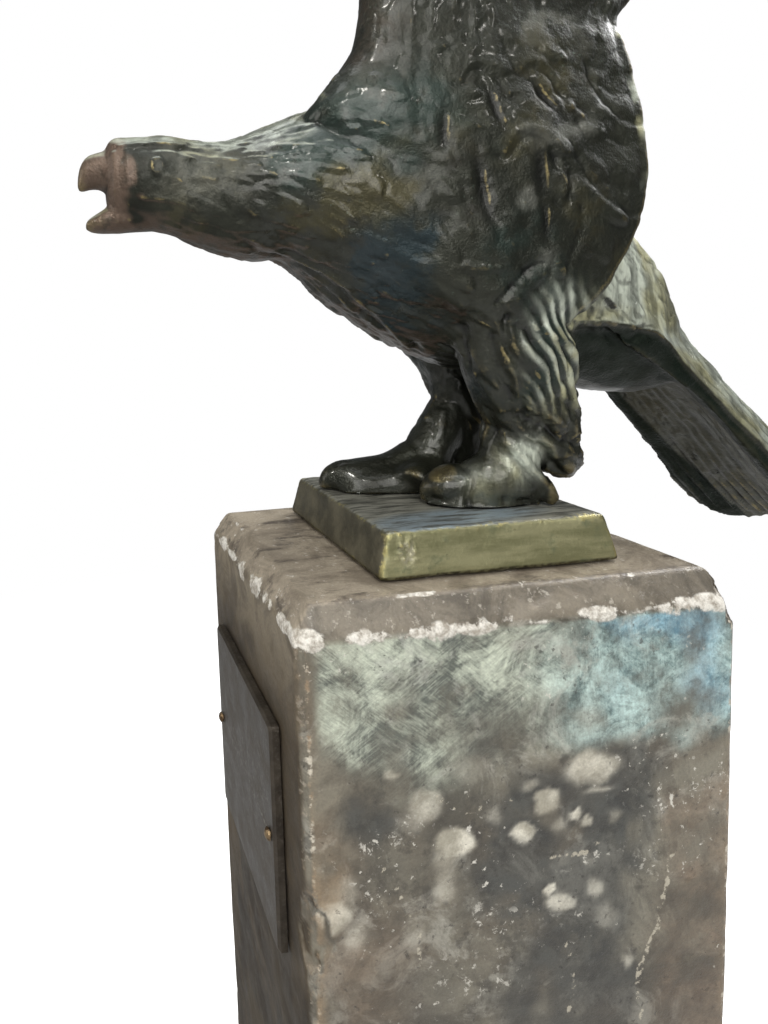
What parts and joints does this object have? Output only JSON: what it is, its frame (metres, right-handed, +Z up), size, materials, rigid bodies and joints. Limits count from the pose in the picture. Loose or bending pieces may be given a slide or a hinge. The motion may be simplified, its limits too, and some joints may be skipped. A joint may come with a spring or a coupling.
{
  "type": "bronze bird statuette on a stone pillar",
  "caption": "Bronze bird of prey with raised wings and open beak, standing on a battered bronze plinth bolted to a chamfered stone pillar that carries a small plaque.",
  "frame": {"origin": "centre of the felt pad's underside, on the surface the statuette stands on", "axes": "+Z up; the bird faces -Y, and +X is the bird's left"},
  "size_m": [0.08, 0.2079, 0.4637],
  "materials": {
    "patinated_bronze": "dark green-brown patina with worn gold ridges",
    "plinth_bronze": "olive patina, worn bright along the edges",
    "mottled_stone": "honed, mottled and chipped",
    "plaque_metal": "dark, worn at the edges",
    "steel": "plain",
    "felt": "felt"
  },
  "bodies": {
    "root": {"felt_pad": "felt", "stone_pillar": "mottled_stone", "plaque": "plaque_metal", "plaque_pin_left": "plaque_metal", "plaque_pin_right": "plaque_metal", "plinth": "plinth_bronze", "bird_body": "patinated_bronze", "wing_left": "patinated_bronze", "wing_right": "patinated_bronze", "wing_dowel_left": "steel", "wing_dowel_right": "steel", "foot_stud_left": "steel", "foot_stud_right": "steel", "foot_nut_left": "steel", "foot_nut_right": "steel", "centre_stud": "steel", "washer": "steel", "centre_nut": "steel"}
  },
  "joints": []
}
